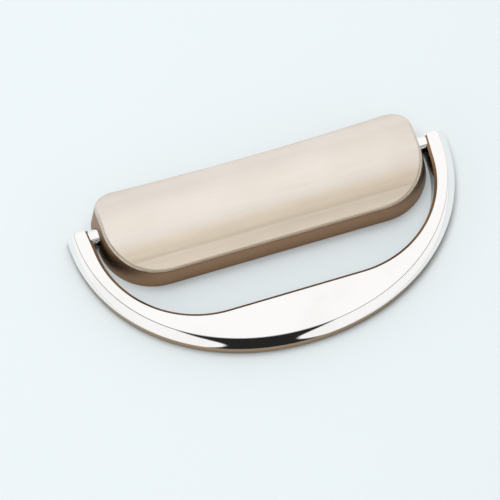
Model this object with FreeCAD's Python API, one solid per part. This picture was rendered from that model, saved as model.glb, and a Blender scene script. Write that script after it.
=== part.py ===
import FreeCAD, Part
import math
import os

# A drop handle for a drawer front or cabinet door: a cast housing with a hollow back
# holds a half-moon bail, which swings on two steel pins.
# X runs along the hinge line, +Y points up the door, from the grip to the housing's rear edge,
# and +Z points out of the door's face. The back face lies on z = 0, and the origin is
# midway between the two mounting holes. Lengths are millimetres and angles degrees.

# Housing, outside
housing_length = 87.8
holes_to_front = 12.7
holes_to_rear = 14.6
end_draft = 10.2
front_corner_radius = 14.4
rear_corner_radius = 6.0
rear_dip = 1.7
front_wall_height = 7.2
band_depth = 4.3
band_rise = 0.9
crown_height = 9.6
crown_radius = 30.0
shoulder_depth = 5.1
crease_blend = 5.0
shoulder_radius = 14.0
top_edge_radius = 0.9

# Housing, inside
wall = 2.0
roof = 2.1
hole_spacing = 64.0
thread_radius = 1.65
thread_depth = 6.5
thread_mouth = 0.4
boss_radius = 3.8
boss_draft = 2.0
rib_thickness = 1.4
rib_recess = 1.0
ear_setback = 1.6
ear_thickness = 2.2
ear_width = 6.4
ear_recess = 0.6

# Hinge
hinge_to_holes = 4.2
hinge_height = 3.0
pin_radius = 1.0
pin_stub = 0.5
pin_reach = 1.4
pin_chamfer = 0.25
pin_clearance = 0.05
pin_end_gap = 0.4
lug_width = 3.9
lug_height = 3.8
lug_corner_radius = 1.2
lug_gap = 0.3
notch_clearance = 0.28

# Bail
arm_gap = 0.7
arm_width = 6.4
arm_lean = 5.0
arm_tip_beyond_hinge = 2.7
arm_tip_straight = 0.4
finger_gap = 13.05
grip_width = 13.8
grip_corner_radius = 26.4
bail_fullness = 0.74
bail_lift = 0.3
bail_thickness = 4.9
strip_height = 2.6
strip_undercut = 0.1
bevel_width = 1.7
bevel_bulge = 0.1
inner_slope = 0.6
inner_bevel_width = 0.7
inner_bevel_depth = 0.5
tip_slope = 0.7
tip_corner_radius = 1.0
crease_radius = 0.3

# How far a cutting tool runs past what it cuts
overrun = 2.0

# What the hinge's pieces take from those sizes
arm_inner_x = housing_length / 2 + arm_gap
bail_half_width = arm_inner_x + arm_width
arm_tip_y = hinge_to_holes + arm_tip_beyond_hinge
outer_curve_y = arm_tip_y - tip_slope - tip_corner_radius - arm_tip_straight
bail_depth = holes_to_front + finger_gap + grip_width + outer_curve_y
end_wall_inner_x = housing_length / 2 - hinge_height * math.tan(math.radians(end_draft)) - wall
ear_outer_x = end_wall_inner_x - ear_setback
ear_inner_x = ear_outer_x - ear_thickness
pin_inner_x = ear_inner_x - pin_stub
pin_outer_x = arm_inner_x + pin_reach


def point(x, y, z):
    return FreeCAD.Vector(x, y, z)


def line(start, end):
    return Part.LineSegment(start, end).toShape()


def arc(centre, radius, start_angle, end_angle):
    """Arc in a level plane, from start_angle to end_angle in degrees."""

    def at(angle):
        turn = math.radians(angle)
        return centre + point(radius * math.cos(turn), radius * math.sin(turn), 0)

    middle = (start_angle + end_angle) / 2
    return Part.Arc(at(start_angle), at(middle), at(end_angle)).toShape()


def housing_plan(inset, height):
    """The housing seen from above, drawn in by inset, with its rear edge curved in by rear_dip."""
    half = housing_length / 2
    front = -holes_to_front + inset
    rear = holes_to_rear - inset
    dip = Part.Arc(point(half, rear, 0), point(0, rear - rear_dip, 0), point(-half, rear, 0))
    edges = [
        line(point(-half, front, 0), point(half, front, 0)),
        line(point(half, front, 0), point(half, rear, 0)),
        dip.toShape(),
        line(point(-half, rear, 0), point(-half, front, 0)),
    ]
    return Part.Face(Part.Wire(edges)).extrude(point(0, 0, height))


def housing_front_view(inset, height):
    """The housing seen from the grip, with end walls that lean in by end_draft."""
    low = housing_length / 2 - inset
    high = low - height * math.tan(math.radians(end_draft))
    front = -holes_to_front - overrun
    corners = [
        point(-low, front, 0),
        point(low, front, 0),
        point(high, front, height),
        point(-high, front, height),
        point(-low, front, 0),
    ]
    depth = holes_to_front + holes_to_rear + 2 * overrun
    return Part.Face(Part.makePolygon(corners)).extrude(point(0, depth, 0))


def crown_solid(drop):
    """What lies under the housing's top, lowered by drop: a low band along the front,
    then a shallow blended crease, the crown, and a tighter shoulder down to the rear."""
    front = -holes_to_front
    shoulder_y = holes_to_rear - shoulder_depth
    start = point(0, front - overrun, front_wall_height - overrun * band_rise / band_depth - drop)
    crease = point(0, front + band_depth, front_wall_height + band_rise - drop)
    crown_z = crown_height - crown_radius - drop
    reach = math.sqrt(crown_radius ** 2 - (crease.z - crown_z) ** 2)
    crown_centre = point(0, crease.y + reach, crown_z)
    along_band = (crease - start).normalize()
    above_band = point(0, -along_band.z, along_band.y)
    spoke = crease - crown_centre
    lean = spoke.dot(along_band)
    slide = lean + math.sqrt(lean ** 2 + 2 * crease_blend * (crown_radius - spoke.dot(above_band)))
    blend_centre = crease - along_band * slide + above_band * crease_blend
    blend_start = blend_centre - above_band * crease_blend
    blend_end = blend_centre + (crown_centre - blend_centre).normalize() * crease_blend
    half_way = (blend_start - blend_centre) + (blend_end - blend_centre)
    blend_middle = blend_centre + half_way.normalize() * crease_blend
    shoulder_turn = math.asin((shoulder_y - crown_centre.y) / crown_radius)
    shoulder_centre = around(crown_centre, crown_radius - shoulder_radius, shoulder_turn)
    last_turn = math.asin(math.sin(shoulder_turn) + (shoulder_depth + overrun) / shoulder_radius)
    crown_top = around(crown_centre, crown_radius, 0)
    shoulder = around(shoulder_centre, shoulder_radius, shoulder_turn)
    shoulder_middle = around(shoulder_centre, shoulder_radius, (shoulder_turn + last_turn) / 2)
    end = around(shoulder_centre, shoulder_radius, last_turn)
    edges = [
        line(start, blend_start),
        Part.Arc(blend_start, blend_middle, blend_end).toShape(),
        Part.Arc(blend_end, crown_top, shoulder).toShape(),
        Part.Arc(shoulder, shoulder_middle, end).toShape(),
        line(end, point(0, end.y, -overrun)),
        line(point(0, end.y, -overrun), point(0, start.y, -overrun)),
        line(point(0, start.y, -overrun), start),
    ]
    section = Part.Face(Part.Wire(edges))
    reach_x = housing_length / 2 + overrun
    section.translate(point(-reach_x, 0, 0))
    return section.extrude(point(2 * reach_x, 0, 0))


def around(centre, radius, turn):
    """Point on an upright circle across the housing, turned from its top towards the rear."""
    return centre + point(0, radius * math.sin(turn), radius * math.cos(turn))


def housing_block(inset, drop):
    """The housing's outer form, or with inset and drop the form of a hollow inside it."""
    height = crown_height + overrun
    block = housing_plan(inset, height).common(housing_front_view(inset, height))
    corners = [edge for edge in block.Edges if edge.BoundBox.ZLength > crown_height]
    front_corners = [edge for edge in corners if edge.BoundBox.YMax < 0]
    rear_corners = [edge for edge in corners if edge.BoundBox.YMin > 0]
    block = block.makeFillet(front_corner_radius - inset, front_corners)
    block = block.makeFillet(rear_corner_radius - inset, rear_corners)
    return block.common(crown_solid(drop))


def crest_edges(block):
    """Edges between the crowned top and the walls, which rise from the back face."""
    top_faces = [face for face in block.Faces if face.BoundBox.ZMin > front_wall_height / 2]
    rims = []
    for edge in block.Edges:
        touching = [face for face in top_faces if any(edge.isSame(own) for own in face.Edges)]
        if len(touching) == 1:
            rims.append(edge)
    return rims


def box(low, high):
    """Block between two corners, given in any order."""
    start = point(min(low.x, high.x), min(low.y, high.y), min(low.z, high.z))
    size = point(abs(high.x - low.x), abs(high.y - low.y), abs(high.z - low.z))
    return Part.makeBox(size.x, size.y, size.z, start)


def screw_boss(side):
    """Tapered boss for one mounting screw, from the back face up to the ceiling."""
    head = boss_radius + crown_height * math.tan(math.radians(boss_draft))
    return Part.makeCone(boss_radius, head, crown_height, point(side * hole_spacing / 2, 0, 0))


def rib(side):
    """Stiffening rib through one boss, from the front wall to the rear wall."""
    x = side * hole_spacing / 2
    half = rib_thickness / 2
    return box(point(x - half, -holes_to_front, rib_recess), point(x + half, holes_to_rear, crown_height))


def ear(side):
    """Lug that hangs from the ceiling just inside an end wall and holds the pin."""
    low = point(side * ear_inner_x, hinge_to_holes - ear_width / 2, ear_recess)
    high = point(side * ear_outer_x, hinge_to_holes + ear_width / 2, crown_height)
    return box(low, high)


def tapped_hole(side):
    """Blind hole at the thread's inner radius, with a bevelled mouth on the back face."""
    x = side * hole_spacing / 2
    hole = Part.makeCylinder(thread_radius, thread_depth + overrun, point(x, 0, -overrun))
    mouth = Part.makeCone(thread_radius + thread_mouth, thread_radius, thread_mouth, point(x, 0, 0))
    return hole.fuse(mouth)


def notch(side):
    """U-shaped way through an end wall, open to the back, that the bail's lug turns in."""
    across = lug_width / 2 - lug_corner_radius
    up = lug_height / 2 - lug_corner_radius
    radius = math.hypot(across, up) + lug_corner_radius + notch_clearance
    outer_x = housing_length / 2 + overrun
    start = point(side * ear_outer_x, hinge_to_holes, hinge_height)
    round_top = Part.makeCylinder(radius, outer_x - ear_outer_x, start, point(side, 0, 0))
    low = point(side * ear_outer_x, hinge_to_holes - radius, -overrun)
    high = point(side * outer_x, hinge_to_holes + radius, hinge_height)
    return round_top.fuse(box(low, high))


def pin(side, chamfer):
    """Round bar on the hinge line, from just inside the ear out into the bail's arm."""
    start = point(side * pin_inner_x, hinge_to_holes, hinge_height)
    bar = Part.makeCylinder(pin_radius, pin_outer_x - pin_inner_x, start, point(side, 0, 0))
    if chamfer:
        bar = bar.makeChamfer(chamfer, [edge for edge in bar.Edges if edge.Closed])
    return bar


def housing():
    body = housing_block(0, 0)
    body = body.makeFillet(top_edge_radius, crest_edges(body))
    body = body.cut(housing_block(wall, roof))
    inside = housing_block(wall / 2, roof / 2)
    stiffeners = []
    cuts = []
    for side in (-1, 1):
        for piece in (screw_boss(side), rib(side), ear(side)):
            stiffeners.append(piece.common(inside))
        cuts.extend([tapped_hole(side), notch(side), pin(side, 0)])
    return body.fuse(stiffeners).cut(cuts).removeSplitter()


def outer_curve(half_width, depth, z):
    """The bail's outer edge from its right end to its left end: two conic quarters, which
    would make half an ellipse if bail_fullness were the square root of one half."""
    y = outer_curve_y
    poles = [
        point(half_width, y, z),
        point(half_width, y - depth, z),
        point(0, y - depth, z),
        point(-half_width, y - depth, z),
        point(-half_width, y, z),
    ]
    weights = [1, bail_fullness, 1, bail_fullness, 1]
    curve = Part.BSplineCurve()
    curve.buildFromPolesMultsKnots(poles, [3, 2, 3], [0, 1, 2], False, 2, weights)
    return curve.toShape()


def opening_edges(inset, end_y, z):
    """Edge of the finger opening from the right arm round to the left arm, both ends at end_y."""
    lean = math.radians(arm_lean)
    corner_y = grip_corner_radius - holes_to_front - finger_gap
    drop = (corner_y - hinge_to_holes) * math.sin(lean)
    corner_x = arm_inner_x - (grip_corner_radius - drop) / math.cos(lean)
    radius = grip_corner_radius + inset
    flat_y = corner_y - radius
    touch_x = corner_x + radius * math.cos(lean)
    touch_y = corner_y - radius * math.sin(lean)
    end_x = touch_x + (end_y - touch_y) * math.tan(lean)
    return [
        line(point(end_x, end_y, z), point(touch_x, touch_y, z)),
        arc(point(corner_x, corner_y, z), radius, -arm_lean, -90),
        line(point(corner_x, flat_y, z), point(-corner_x, flat_y, z)),
        arc(point(-corner_x, corner_y, z), radius, -90, -180 + arm_lean),
        line(point(-touch_x, touch_y, z), point(-end_x, end_y, z)),
    ]


def arm_tip_edges(side, outer_x, inner_x, tip, z):
    """Straight outer side and rounded tip of one arm, from its outer edge to its inner edge."""
    round_y = tip - tip_corner_radius
    outer_round_x = outer_x - tip_corner_radius
    inner_round_x = inner_x + tip_corner_radius * math.cos(math.radians(arm_lean))
    outer_round = point(side * outer_round_x, round_y, z)
    inner_round = point(side * inner_round_x, round_y, z)
    outward = 90 - side * 90
    return [
        line(point(side * outer_x, outer_curve_y, z), point(side * outer_x, round_y, z)),
        arc(outer_round, tip_corner_radius, outward, 90),
        line(point(side * outer_round_x, tip, z), point(side * inner_round_x, tip, z)),
        arc(inner_round, tip_corner_radius, 90, 180 - outward - side * arm_lean),
    ]


def bail_outline(outer_inset, inner_bevel, z):
    """Half-moon outline with two arms at height z. The outer edge is drawn in by outer_inset.
    The opening and the tips slope back with height, and the opening by inner_bevel as well."""
    rise = (z - bail_lift) / bail_thickness
    tip = arm_tip_y - rise * tip_slope
    outer_x = bail_half_width - outer_inset
    end_y = tip - tip_corner_radius + tip_corner_radius * math.sin(math.radians(arm_lean))
    opening = opening_edges(rise * inner_slope + inner_bevel, end_y, z)
    inner_x = opening[0].Vertexes[0].X
    right = arm_tip_edges(1, outer_x, inner_x, tip, z)
    left = arm_tip_edges(-1, outer_x, inner_x, tip, z)
    outer = outer_curve(outer_x, bail_depth - outer_inset, z)
    return Part.Wire(Part.sortEdges(opening + right + left + [outer])[0])


def bevel_outline(share, inner_bevel=0):
    """Outline part of the way up the outer bevel, whose face bulges a little between its edges."""
    bottom = bail_lift + strip_height
    z = bottom + share * (bail_lift + bail_thickness - bottom)
    outer_inset = share * bevel_width - 4 * bevel_bulge * share * (1 - share)
    return bail_outline(outer_inset, inner_bevel, z)


def lug(side):
    """Block on the arm's inner side that reaches through the notch to the ear."""
    low = point(
        side * (ear_outer_x + lug_gap),
        hinge_to_holes - lug_width / 2,
        hinge_height - lug_height / 2,
    )
    high = point(
        side * (arm_inner_x + arm_width / 2),
        hinge_to_holes + lug_width / 2,
        hinge_height + lug_height / 2,
    )
    block = box(low, high)
    along = [edge for edge in block.Edges if edge.BoundBox.XLength > arm_width / 2]
    return block.makeFillet(lug_corner_radius, along)


def pin_bore(side):
    """Blind hole along the hinge line through one lug into its arm."""
    start = point(side * ear_outer_x, hinge_to_holes, hinge_height)
    depth = pin_outer_x + pin_end_gap - ear_outer_x
    return Part.makeCylinder(pin_radius + pin_clearance, depth, start, point(side, 0, 0))


def bail():
    strip_top = bevel_outline(0)
    top = bevel_outline(1, inner_bevel_width)
    shoulder = 1 - inner_bevel_depth / (bail_thickness - strip_height)
    shoulder_outline = bevel_outline(shoulder)
    strip = Part.makeLoft([bail_outline(strip_undercut, 0, bail_lift), strip_top], True, True)
    bevel = Part.makeLoft([strip_top, bevel_outline(shoulder / 2), shoulder_outline], True, False)
    cap = Part.makeLoft([shoulder_outline, top], True, True)
    body = strip.fuse([bevel, cap]).removeSplitter()
    crest_z = bail_lift + bail_thickness - inner_bevel_depth / 2
    crest = [edge for edge in body.Edges if edge.BoundBox.ZMin > crest_z]
    body = body.makeFillet(crease_radius, crest)
    body = body.fuse([lug(-1), lug(1)])
    return body.cut([pin_bore(-1), pin_bore(1)]).removeSplitter()


def write(name, shape):
    solid = shape.Solids[0]
    print(name, "valid" if shape.isValid() else "broken", len(shape.Solids), round(solid.Volume, 1))
    solid.exportStep(os.path.join("parts", name + ".step"))


os.makedirs("parts", exist_ok=True)
write("housing", housing())
write("bail", bail())
write("pivot_pin_left", pin(-1, pin_chamfer))
write("pivot_pin_right", pin(1, pin_chamfer))
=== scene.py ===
import math

import bpy
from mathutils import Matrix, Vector


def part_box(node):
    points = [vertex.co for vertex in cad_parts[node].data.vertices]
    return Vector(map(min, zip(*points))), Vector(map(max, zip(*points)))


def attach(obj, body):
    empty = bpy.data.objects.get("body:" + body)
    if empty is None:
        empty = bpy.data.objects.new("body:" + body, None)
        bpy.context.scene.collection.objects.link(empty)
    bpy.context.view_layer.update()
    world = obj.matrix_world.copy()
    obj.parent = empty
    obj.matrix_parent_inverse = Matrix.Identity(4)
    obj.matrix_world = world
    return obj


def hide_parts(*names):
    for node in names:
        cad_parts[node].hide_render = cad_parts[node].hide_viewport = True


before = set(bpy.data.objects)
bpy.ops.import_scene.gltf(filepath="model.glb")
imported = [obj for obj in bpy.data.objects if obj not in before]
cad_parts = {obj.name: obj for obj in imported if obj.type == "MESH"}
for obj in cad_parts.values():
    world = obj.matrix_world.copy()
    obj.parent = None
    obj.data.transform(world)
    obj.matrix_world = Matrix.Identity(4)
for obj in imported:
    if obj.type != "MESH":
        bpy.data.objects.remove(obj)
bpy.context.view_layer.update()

bl_info = {
    "name": "Drop Handle Dressing",
    "version": (1, 0, 0),
    "blender": (4, 5, 0),
    "location": "3D View > Sidebar > Handle",
    "description": "Finishes of a drop handle for a drawer or cabinet door, with its stage",
    "category": "Object",
}

MM = 0.001

# The bail's edge: how its outline curves and where the bevel lies above the low strip
BAIL_LOW, BAIL_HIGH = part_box("bail")
CURVE_START_Y = 4.8 * MM
CURVE_DEPTH = CURVE_START_Y - BAIL_LOW.y
CURVE_FULLNESS = 0.74
STRIP_TOP = 2.9 * MM
BEVEL_HEIGHT = BAIL_HIGH.z - STRIP_TOP
BEVEL_TILT_HIGH = math.radians(42.7)
BEVEL_TILT_LOW = math.radians(56.7)
BEVEL_GAIN = 0.25 * MM
BEVEL_REACH = 2.3 * MM
CREST_RADIUS = 0.3 * MM
MERGE_DISTANCE = 0.001 * MM
SHARP_ANGLE = math.radians(24)
FINGER_GAP_Y = -8.0 * MM

# Parts of the two castings, each as two corners of a box in millimetres, and how soft its sides are
BOX_BLEND = 0.1 * MM
HOUSING_HOLLOW = ((-36.0, -9.8, -1.0), (36.0, 11.5, 6.9))
BAIL_LUGS = ((-44.6, 1.5, -1.0), (44.6, 9.0, 9.0))

# Depths of the relief in the metal, and the crease along the housing's front, which is buffed soft
GRAIN_DEPTH = 0.0024 * MM
PIN_GRAIN_DEPTH = 0.004 * MM
WAVE_DEPTH = 0.08 * MM
CREASE_Y = -8.4 * MM
CREASE_REACH = 1.5 * MM
CREASE_FILL = 0.06 * MM

# The studio that the metal mirrors, and the lamp that lights the floor
SOFT_BOX_MIDDLE = (0.139, 0.429, 0.893)
SOFT_BOX_EDGE = math.cos(math.radians(42.0))
SOFT_BOX_FULL = math.cos(math.radians(34.0))
DUSK_START = math.radians(30.0)
DUSK_FULL = math.radians(48.0)
ROOM_LIGHT = 0.02
LAMP_WIDTH, LAMP_DEPTH = 0.55, 0.45
LAMP_PLACE = (-0.10, 0.06, 0.78)

# The camera
SENSOR_WIDTH = 36.0
NEAREST_SEEN = 0.01


def millimetres(name, description, default):
    return bpy.props.FloatProperty(
        name=name, description=description, default=default * MM, unit="LENGTH", precision=5
    )


def colour(name, description, default):
    return bpy.props.FloatVectorProperty(
        name=name, description=description, default=default, subtype="COLOR", size=3, min=0, max=1
    )


def share(name, description, default):
    return bpy.props.FloatProperty(
        name=name, description=description, default=default, subtype="FACTOR", min=0, max=1
    )


class HandleFinishes(bpy.types.PropertyGroup):
    """Colours and grain of the handle's metal pieces."""

    satin: colour("Satin plate", "Colour of the housing's top", (0.92, 0.85, 0.775))
    # Painted shade: the front slope gets a warmer, darker tone than the top, standing in for what
    # it mirrors
    band_painted_shade: colour("Satin band", "Colour where the top slopes off", (0.91, 0.79, 0.63))
    # Painted shade: the upright walls are dark brown, standing in for the dark surroundings they
    # mirror. The same colour also serves the faint random mottle over the top
    wall_shade_and_mottle: colour("Satin side", "Colour of the housing's walls", (0.35, 0.20, 0.105))
    # Painted highlight: a light line along the fillet at the two ends, broken up by noise
    edge_highlight: colour("Highlighted edge", "Colour of the rubbed edges", (0.93, 0.88, 0.80))
    satin_roughness: share("Satin roughness", "Roughness of the housing's top", 0.36)
    raw: colour("Raw casting", "Colour inside the housing's hollow", (0.42, 0.40, 0.38))
    raw_roughness: share("Raw roughness", "Roughness inside the hollow", 0.6)
    polished: colour("Polished plate", "Colour of the bail", (0.95, 0.94, 0.925))
    # Painted reflection: brown on the bail's low strip, standing in for the dark surroundings it
    # mirrors. The same colour also serves the faint random smudges
    strip_reflection_and_smudge: colour("Polished side", "Colour of the bail's lower strip", (0.45, 0.29, 0.165))
    # Painted shade: near-black on the upright inner sides round the finger gap
    inner_side_shade: colour("Inner side", "Colour round the finger gap", (0.065, 0.045, 0.032))
    polished_under: colour("Underside", "Colour of the bail's back face", (0.78, 0.75, 0.70))
    polished_roughness: share("Polish roughness", "Roughness of the bail", 0.035)
    steel: colour("Pin steel", "Colour of the two pins", (0.55, 0.54, 0.52))
    steel_shade: colour("Pin shade", "Colour of the pins' darker patches", (0.33, 0.32, 0.30))
    steel_roughness: share("Pin roughness", "Roughness of the two pins", 0.28)


class HandleStage(bpy.types.PropertyGroup):
    """Floor, light and camera around the handle."""

    floor: colour("Floor", "Colour of the floor", (0.80, 0.865, 0.89))
    floor_size: bpy.props.FloatProperty(
        name="Floor size", description="Length of one side of the floor",
        default=6.0, unit="LENGTH",
    )
    lamp_power: bpy.props.FloatProperty(
        name="Lamp power", description="Power of the lamp over the floor",
        default=3.5, unit="POWER",
    )
    azimuth: bpy.props.FloatProperty(
        name="Azimuth", description="Turn of the camera about the upright axis",
        default=math.radians(-18.0), unit="ROTATION",
    )
    elevation: bpy.props.FloatProperty(
        name="Elevation", description="Height of the camera over the floor",
        default=math.radians(63.2), unit="ROTATION",
    )
    distance: bpy.props.FloatProperty(
        name="Distance", description="From the aimed point to the camera",
        default=0.63, unit="LENGTH",
    )
    aim_ahead: millimetres("Aim", "How far the aimed point lies ahead of the mounting holes", 13.0)
    lens: bpy.props.FloatProperty(
        name="Lens", description="Focal length on a 36 mm sensor", default=177.7, unit="CAMERA"
    )
    shift_x: bpy.props.FloatProperty(
        name="Shift X", description="Sideways lens shift", default=-0.0601
    )
    shift_y: bpy.props.FloatProperty(
        name="Shift Y", description="Upward lens shift", default=0.0064
    )


class Socket:
    """An output socket, on which Python's operators add Math nodes."""

    def __init__(self, shader, output):
        self.shader = shader
        self.output = output

    def math(self, operation, *others):
        return self.shader.math(operation, self, *others)

    def __add__(self, other):
        return self.math("ADD", other)

    def __radd__(self, other):
        return self.shader.math("ADD", other, self)

    def __sub__(self, other):
        return self.math("SUBTRACT", other)

    def __rsub__(self, other):
        return self.shader.math("SUBTRACT", other, self)

    def __mul__(self, other):
        return self.math("MULTIPLY", other)

    def __rmul__(self, other):
        return self.shader.math("MULTIPLY", other, self)

    def __truediv__(self, other):
        return self.math("DIVIDE", other)

    def __abs__(self):
        return self.math("ABSOLUTE")

    def smaller(self, other):
        return self.math("MINIMUM", other)

    def larger(self, other):
        return self.math("MAXIMUM", other)

    def ramp(self, start, end):
        """0 up to start, 1 from end on, smooth between them."""
        return self.shader.add(
            "ShaderNodeMapRange",
            {"interpolation_type": "SMOOTHSTEP"},
            {"Value": self, "From Min": start, "From Max": end},
        )


class Shader:
    """A node tree that is being built for one material or the world."""

    def __init__(self, owner):
        owner.use_nodes = True
        self.tree = owner.node_tree
        self.tree.nodes.clear()

    def add(self, kind, settings=None, values=None, output=0):
        """Adds a node, sets it, feeds its inputs and returns one output."""
        node = self.tree.nodes.new(kind)
        for name, setting in (settings or {}).items():
            setattr(node, name, setting)
        for name, value in (values or {}).items():
            self.feed(node.inputs[name], value)
        return Socket(self, node.outputs[output]) if node.outputs else None

    def feed(self, entry, value):
        if isinstance(value, Socket):
            self.tree.links.new(value.output, entry)
        else:
            entry.default_value = value

    def math(self, operation, *values):
        return self.add("ShaderNodeMath", {"operation": operation}, dict(enumerate(values)))

    def mix(self, mask, first, second):
        """Colour first where mask is 0 and second where it is 1."""
        return self.add(
            "ShaderNodeMix",
            {"data_type": "RGBA", "clamp_factor": True},
            {0: mask, 6: self.rgba(first), 7: self.rgba(second)},
            output=2,
        )

    def rgba(self, value):
        return value if isinstance(value, Socket) else (*value, 1.0)

    def place(self):
        """Place on the object in metres, as a vector."""
        return self.add("ShaderNodeTexCoord", output="Object")

    def facing(self):
        """X, Y and Z of the object's own surface direction."""
        return self.split(self.add("ShaderNodeTexCoord", output="Normal"))

    def split(self, vector):
        kind = "ShaderNodeSeparateXYZ"
        return [self.add(kind, values={0: vector}, output=axis) for axis in "XYZ"]

    def inside(self, place, low, high):
        """1 within a box, given by two corners in millimetres, and 0 outside it."""
        within = None
        for spot, start, end in zip(self.split(place), low, high):
            gap = (spot - start * MM).smaller(end * MM - spot).ramp(0.0, BOX_BLEND)
            within = gap if within is None else within * gap
        return within

    def dot(self, vector, direction):
        values = {0: vector, 1: direction}
        return self.add(
            "ShaderNodeVectorMath", {"operation": "DOT_PRODUCT"}, values, output="Value"
        )

    def stretched(self, vector, scale):
        return self.add("ShaderNodeMapping", values={"Vector": vector, "Scale": scale})

    def noise(self, vector, scale, detail=2.0):
        """Noise from 0 to 1, with its middle at 0.5."""
        return self.add(
            "ShaderNodeTexNoise", values={"Vector": vector, "Scale": scale, "Detail": detail}
        )

    def bump(self, height, distance, strength=1.0):
        return self.add(
            "ShaderNodeBump", values={"Height": height, "Distance": distance, "Strength": strength}
        )

    def finish(self, surface, kind="ShaderNodeOutputMaterial"):
        self.add(kind, values={"Surface": surface})


def metal(shader, base, roughness, normal):
    """Ends a material as bare metal with these looks."""
    values = {"Base Color": base, "Metallic": 1.0, "Roughness": roughness, "Normal": normal}
    shader.finish(shader.add("ShaderNodeBsdfPrincipled", values=values))


def satin_plate(look):
    """Champagne plating: brushed along the top, plainer on the walls, dull inside the hollow. Its
    walls carry painted dark shade, its front slope a painted warmer shade and its end edges a
    painted highlight.
    """
    material = bpy.data.materials.new("satin_nickel")
    shader = Shader(material)
    place = shader.place()
    x, y = shader.split(place)[:2]
    across, up_door, up = shader.facing()

    brushed = shader.noise(shader.stretched(place, (60.0, 2600.0, 2600.0)), 1.0, 3.0)
    grain = shader.noise(place, 5200.0)
    cloud = shader.noise(place, 42.0, 3.0)

    inwards = (0.0 - (across * x + up_door * y)).ramp(0.5 * MM, 2.0 * MM)
    deep = shader.inside(place, *HOUSING_HOLLOW)
    hollow = deep.larger(inwards * (1.0 - up.ramp(0.2, 0.5))).larger((0.0 - up).ramp(0.15, 0.3))
    side = 1.0 - up.ramp(0.25, 0.80)
    edge = up.ramp(0.25, 0.50) * (1.0 - up.ramp(0.80, 0.955))
    # Painted highlight mask: the fillet at the two ends, broken up by noise
    highlit = edge * abs(across).ramp(0.10, 0.45) * shader.noise(place, 700.0).ramp(0.1, 0.6)

    # Painted shade: the slope that faces the front takes the warmer, darker band colour
    tone = shader.mix((0.0 - up_door).ramp(0.10, 0.24), look.satin, look.band_painted_shade)
    # Painted shade: the walls, found by their facing, turn dark brown
    tone = shader.mix(side, tone, look.wall_shade_and_mottle)
    # Painted highlight on the end fillets
    tone = shader.mix(highlit, tone, look.edge_highlight)
    # A faint random mottle toward the dark wall colour, all over
    tone = shader.mix((cloud - 0.5) * 0.25 + (brushed - 0.5) * 0.12 + 0.06, tone, look.wall_shade_and_mottle)
    tone = shader.mix(hollow, tone, look.raw)
    rough = look.satin_roughness + (brushed - 0.5) * 0.10 + (cloud - 0.5) * 0.08
    rougher_raw = look.raw_roughness - look.satin_roughness
    rough = rough + side * 0.06 + edge * 0.35 + hollow * rougher_raw
    height = brushed * (1.0 - side) * 0.5 + grain * 0.5
    height = height + hollow * shader.noise(place, 1500.0) * 2.0
    from_crease = (y - CREASE_Y) / CREASE_REACH
    filled = shader.math("EXPONENT", 0.0 - from_crease * from_crease)
    height = height * (GRAIN_DEPTH / CREASE_FILL) + filled
    metal(shader, tone, rough, shader.bump(height, CREASE_FILL))
    return material


def polished_plate(look):
    """Mirror-bright plating, with a painted brown reflection on the low strip and painted dark
    shade on the inner sides round the finger gap.
    """
    material = bpy.data.materials.new("polished_nickel")
    shader = Shader(material)
    place = shader.place()
    x, y, z = shader.split(place)
    across, up_door, up = shader.facing()
    smear = shader.noise(place, 90.0, 4.0)
    hair = shader.noise(shader.stretched(place, (900.0, 120.0, 900.0)), 1.0)
    under = (0.0 - up).ramp(0.5, 0.8)
    upright = 1.0 - up.ramp(0.10, 0.35).larger(under)
    lug = shader.inside(place, *BAIL_LUGS)
    strip = upright * (1.0 - z.ramp(STRIP_TOP, STRIP_TOP + 0.1 * MM)) * (1.0 - lug)
    inwards = (0.0 - (across * x + up_door * (y - FINGER_GAP_Y))).ramp(0.0, 5.0 * MM)
    # Painted reflection: the low strip turns brown
    tone = shader.mix(strip, look.polished, look.strip_reflection_and_smudge)
    # Painted shade: the upright sides facing into the finger gap turn near-black
    tone = shader.mix(upright * inwards, tone, look.inner_side_shade)
    tone = shader.mix(under, tone, look.polished_under)
    # Faint random smudges toward the strip colour
    tone = shader.mix(smear.ramp(0.45, 0.8) * 0.06, tone, look.strip_reflection_and_smudge)
    rough = look.polished_roughness + smear.ramp(0.4, 0.8) * 0.03 + strip * 0.10 + under * 0.22
    wave = shader.noise(place, 55.0, 1.0)
    height = hair * 0.01 + smear * 0.02 + wave
    metal(shader, tone, rough, shader.bump(height, WAVE_DEPTH))
    return material


def outline_slope(place):
    """How far a spot lies inside the bail's outer edge, and the edge's outward direction there.

    Each half of the edge is a conic that leaves the arm straight and meets the middle level.
    """
    aside = abs(place.x) / BAIL_HIGH.x
    ahead = max(0.0, (CURVE_START_Y - place.y) / CURVE_DEPTH)
    if ahead == 0:
        return BAIL_HIGH.x - abs(place.x), Vector((math.copysign(1.0, place.x), 0.0, 0.0))
    both = aside + ahead - 1
    bulge = 4 * CURVE_FULLNESS ** 2
    level = both ** 2 - bulge * (1 - aside) * (1 - ahead)
    slope_x = (2 * both + bulge * (1 - ahead)) / BAIL_HIGH.x
    slope_y = (2 * both + bulge * (1 - aside)) / CURVE_DEPTH
    outward = Vector((math.copysign(slope_x, place.x), -slope_y, 0.0))
    return -level / outward.length, outward.normalized()


def bevel_normal(place):
    """Direction of the bail's outer bevel, which curves a little, or of the crest above it."""
    below_top = max(0.0, BAIL_HIGH.z - place.z)
    crest_drop = CREST_RADIUS * (1 - math.cos(BEVEL_TILT_HIGH))
    if below_top < crest_drop:
        tilt = math.acos(1 - below_top / CREST_RADIUS)
    else:
        share_down = min(1.0, (below_top - crest_drop) / (BEVEL_HEIGHT - crest_drop))
        tilt = BEVEL_TILT_HIGH + share_down * (BEVEL_TILT_LOW - BEVEL_TILT_HIGH)
    outward = outline_slope(place)[1]
    return outward * math.sin(tilt) + Vector((0.0, 0.0, math.cos(tilt)))


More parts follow.
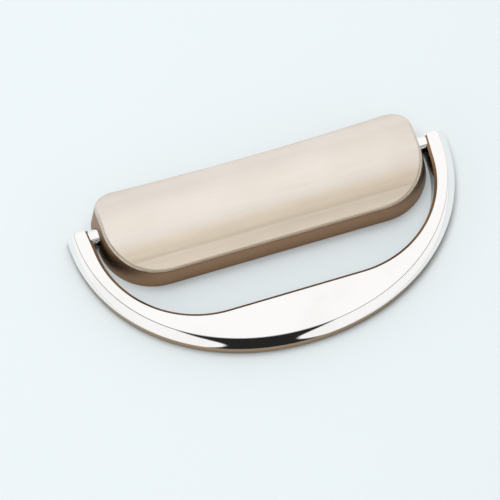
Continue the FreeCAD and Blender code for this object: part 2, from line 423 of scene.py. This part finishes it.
def merged_copy(node, name):
    """A copy of a CAD node's object with its loose triangles joined, made the active object."""
    bpy.ops.object.select_all(action="DESELECT")
    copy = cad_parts[node].copy()
    copy.data = copy.data.copy()
    copy.parent = None
    copy.name = name
    bpy.context.scene.collection.objects.link(copy)
    bpy.context.view_layer.objects.active = copy
    copy.select_set(True)
    bpy.ops.mesh.customdata_custom_splitnormals_clear()
    bpy.ops.object.mode_set(mode="EDIT")
    bpy.ops.mesh.select_all(action="SELECT")
    bpy.ops.mesh.remove_doubles(threshold=MERGE_DISTANCE)
    bpy.ops.object.mode_set(mode="OBJECT")
    return copy


def widen_bevel(mesh):
    """Moves the crest inwards, and each spot below it by its height over the strip."""
    for vertex in mesh.vertices:
        inset, outward = outline_slope(vertex.co)
        share_up = (vertex.co.z - STRIP_TOP) / BEVEL_HEIGHT
        if share_up > 0 and inset < BEVEL_REACH:
            vertex.co -= outward * share_up * BEVEL_GAIN


def shade_bevel(mesh):
    """Gives the bevel's corners the direction of one even curve, so that it mirrors cleanly."""
    normals = [corner.vector.copy() for corner in mesh.corner_normals]
    for face in mesh.polygons:
        inset, outward = outline_slope(face.center)
        on_bevel = face.center.z > STRIP_TOP and inset < BEVEL_REACH
        if on_bevel and face.normal.dot(outward) > 0.05 and face.normal.z > 0.3:
            for loop in face.loop_indices:
                corner = mesh.vertices[mesh.loops[loop].vertex_index].co
                normals[loop] = bevel_normal(corner)
    mesh.normals_split_custom_set(normals)


def polished_bail():
    """The bail with its outer bevel trued and shaded for a mirror finish."""
    bail = merged_copy("bail", "bail_polished")
    widen_bevel(bail.data)
    bpy.ops.object.shade_smooth_by_angle(angle=SHARP_ANGLE)
    weighted = bail.modifiers.new("weighted", "WEIGHTED_NORMAL")
    weighted.keep_sharp = True
    bpy.ops.object.modifier_apply(modifier=weighted.name)
    shade_bevel(bail.data)
    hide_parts("bail")
    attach(bail, "bail")
    return bail


def pin_steel(look):
    """Drawn steel with turning marks around the pin."""
    material = bpy.data.materials.new("pin_steel")
    shader = Shader(material)
    place = shader.place()
    rings = shader.noise(shader.stretched(place, (6000.0, 300.0, 300.0)), 1.0)
    cloud = shader.noise(place, 400.0)
    tone = shader.mix(cloud.ramp(0.35, 0.8) * 0.4, look.steel, look.steel_shade)
    rough = look.steel_roughness + (rings - 0.5) * 0.2
    metal(shader, tone, rough, shader.bump(rings, PIN_GRAIN_DEPTH, 0.5))
    return material


def dress(piece, material):
    """Gives a piece one material in all its slots."""
    for slot in piece.material_slots:
        slot.material = material


class HANDLE_OT_housing(bpy.types.Operator):
    """Give the housing its satin plating"""

    bl_idname = "handle.housing"
    bl_label = "Housing"

    def execute(self, context):
        dress(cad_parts["housing"], satin_plate(context.scene.handle_finishes))
        return {"FINISHED"}


class HANDLE_OT_bail(bpy.types.Operator):
    """Give the bail its polished plating"""

    bl_idname = "handle.bail"
    bl_label = "Bail"

    def execute(self, context):
        dress(polished_bail(), polished_plate(context.scene.handle_finishes))
        return {"FINISHED"}


class HANDLE_OT_pins(bpy.types.Operator):
    """Give the two pins their drawn steel"""

    bl_idname = "handle.pins"
    bl_label = "Pins"

    def execute(self, context):
        material = pin_steel(context.scene.handle_finishes)
        for node in ("pivot_pin_left", "pivot_pin_right"):
            dress(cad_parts[node], material)
        return {"FINISHED"}


def floor_material(stage):
    """Plain matt paint for the floor."""
    material = bpy.data.materials.new("floor")
    shader = Shader(material)
    surface = shader.add("ShaderNodeBsdfDiffuse", values={"Color": (*stage.floor, 1.0)})
    shader.finish(surface)
    return material


def screen(bearing, height, middle, half_width, corner_width, middle_up, half_height):
    """1 on a white screen with oval ends and 0 off it. Its place and size are in degrees."""
    middle, half_width, corner_width = map(math.radians, (middle, half_width, corner_width))
    middle_up, half_height = map(math.radians, (middle_up, half_height))
    sideways = (abs(bearing - middle) - (half_width - corner_width)).larger(0.0) / corner_width
    upwards = (height - middle_up) / half_height
    return 1.0 - (sideways * sideways + upwards * upwards).ramp(0.94, 1.06)


def lit_world(scene):
    """Studio seen by the metal: a soft box over the rear and two white screens, open between."""
    world = bpy.data.worlds.new("studio")
    scene.world = world
    shader = Shader(world)
    ray = shader.add("ShaderNodeTexCoord", output="Generated")
    x, y, z = shader.split(ray)
    bearing = shader.math("ARCTAN2", x, 0.0 - y)
    height = shader.math("ARCSINE", z)
    right = screen(
        bearing, height, middle=96.5, half_width=93.5, corner_width=30.0,
        middle_up=12.0, half_height=16.0,
    )
    left = screen(
        bearing, height, middle=-107.0, half_width=83.0, corner_width=45.0,
        middle_up=11.0, half_height=18.0,
    )
    towards_box = shader.dot(ray, SOFT_BOX_MIDDLE)
    glow = towards_box.ramp(SOFT_BOX_EDGE, 1.0)
    box = towards_box.ramp(SOFT_BOX_EDGE, SOFT_BOX_FULL) * 0.70 + glow * 0.32
    dusk = height.ramp(DUSK_START, DUSK_FULL) * (0.0 - y).ramp(0.15, 0.50) * 0.50
    strength = box.larger(right.larger(left) * 0.98).larger(dusk).larger(ROOM_LIGHT)
    values = {"Color": (1.0, 1.0, 1.0, 1.0), "Strength": strength}
    background = shader.add("ShaderNodeBackground", values=values)
    shader.finish(background, "ShaderNodeOutputWorld")


def add_lamp(stage):
    """A broad lamp over the floor, for the soft shadow. The metal doesn't mirror it."""
    data = bpy.data.lights.new("key", "AREA")
    data.shape = "RECTANGLE"
    data.size, data.size_y = LAMP_WIDTH, LAMP_DEPTH
    data.energy = stage.lamp_power
    lamp = bpy.data.objects.new("key", data)
    lamp.location = LAMP_PLACE
    lamp.rotation_euler = lamp.location.to_track_quat("Z", "Y").to_euler()
    lamp.visible_glossy = False
    bpy.context.scene.collection.objects.link(lamp)


def add_camera(stage):
    """A long lens that looks down on the handle from its grip side."""
    data = bpy.data.cameras.new("camera")
    data.lens = stage.lens
    data.sensor_width = SENSOR_WIDTH
    data.shift_x = stage.shift_x
    data.shift_y = stage.shift_y
    data.clip_start = NEAREST_SEEN
    camera = bpy.data.objects.new("camera", data)
    across = math.cos(stage.elevation)
    back = Vector((
        math.sin(stage.azimuth) * across,
        -math.cos(stage.azimuth) * across,
        math.sin(stage.elevation),
    ))
    camera.location = Vector((0.0, -stage.aim_ahead, 0.0)) + back * stage.distance
    camera.rotation_euler = back.to_track_quat("Z", "Y").to_euler()
    bpy.context.scene.collection.objects.link(camera)
    bpy.context.scene.camera = camera


class HANDLE_OT_stage(bpy.types.Operator):
    """Add the floor, the studio light and the camera"""

    bl_idname = "handle.stage"
    bl_label = "Stage"

    def execute(self, context):
        stage = context.scene.handle_stage
        bpy.ops.object.select_all(action="DESELECT")
        bpy.ops.mesh.primitive_plane_add(size=stage.floor_size, location=(0, 0, 0))
        floor = context.active_object
        floor.name = "floor"
        floor.data.materials.append(floor_material(stage))
        lit_world(context.scene)
        add_lamp(stage)
        add_camera(stage)
        context.scene.view_settings.view_transform = "Standard"
        return {"FINISHED"}


class HANDLE_PT_panel(bpy.types.Panel):
    """Sizes, colours and pieces of the handle"""

    bl_label = "Drop handle"
    bl_idname = "HANDLE_PT_panel"
    bl_space_type = "VIEW_3D"
    bl_region_type = "UI"
    bl_category = "Handle"

    def draw(self, context):
        for group in (context.scene.handle_finishes, context.scene.handle_stage):
            for name in group.bl_rna.properties.keys():
                if name not in {"rna_type", "name"}:
                    self.layout.prop(group, name)
        for operator in OPERATORS:
            self.layout.operator(operator.bl_idname)


OPERATORS = (HANDLE_OT_housing, HANDLE_OT_bail, HANDLE_OT_pins, HANDLE_OT_stage)
CLASSES = (HandleFinishes, HandleStage) + OPERATORS + (HANDLE_PT_panel,)


def register():
    for each in CLASSES:
        bpy.utils.register_class(each)
    bpy.types.Scene.handle_finishes = bpy.props.PointerProperty(type=HandleFinishes)
    bpy.types.Scene.handle_stage = bpy.props.PointerProperty(type=HandleStage)


def unregister():
    del bpy.types.Scene.handle_stage
    del bpy.types.Scene.handle_finishes
    for each in reversed(CLASSES):
        bpy.utils.unregister_class(each)


def main():
    register()
    bpy.ops.handle.housing()
    bpy.ops.handle.bail()
    bpy.ops.handle.pins()
    bpy.ops.handle.stage()


if __name__ == "__main__":
    main()
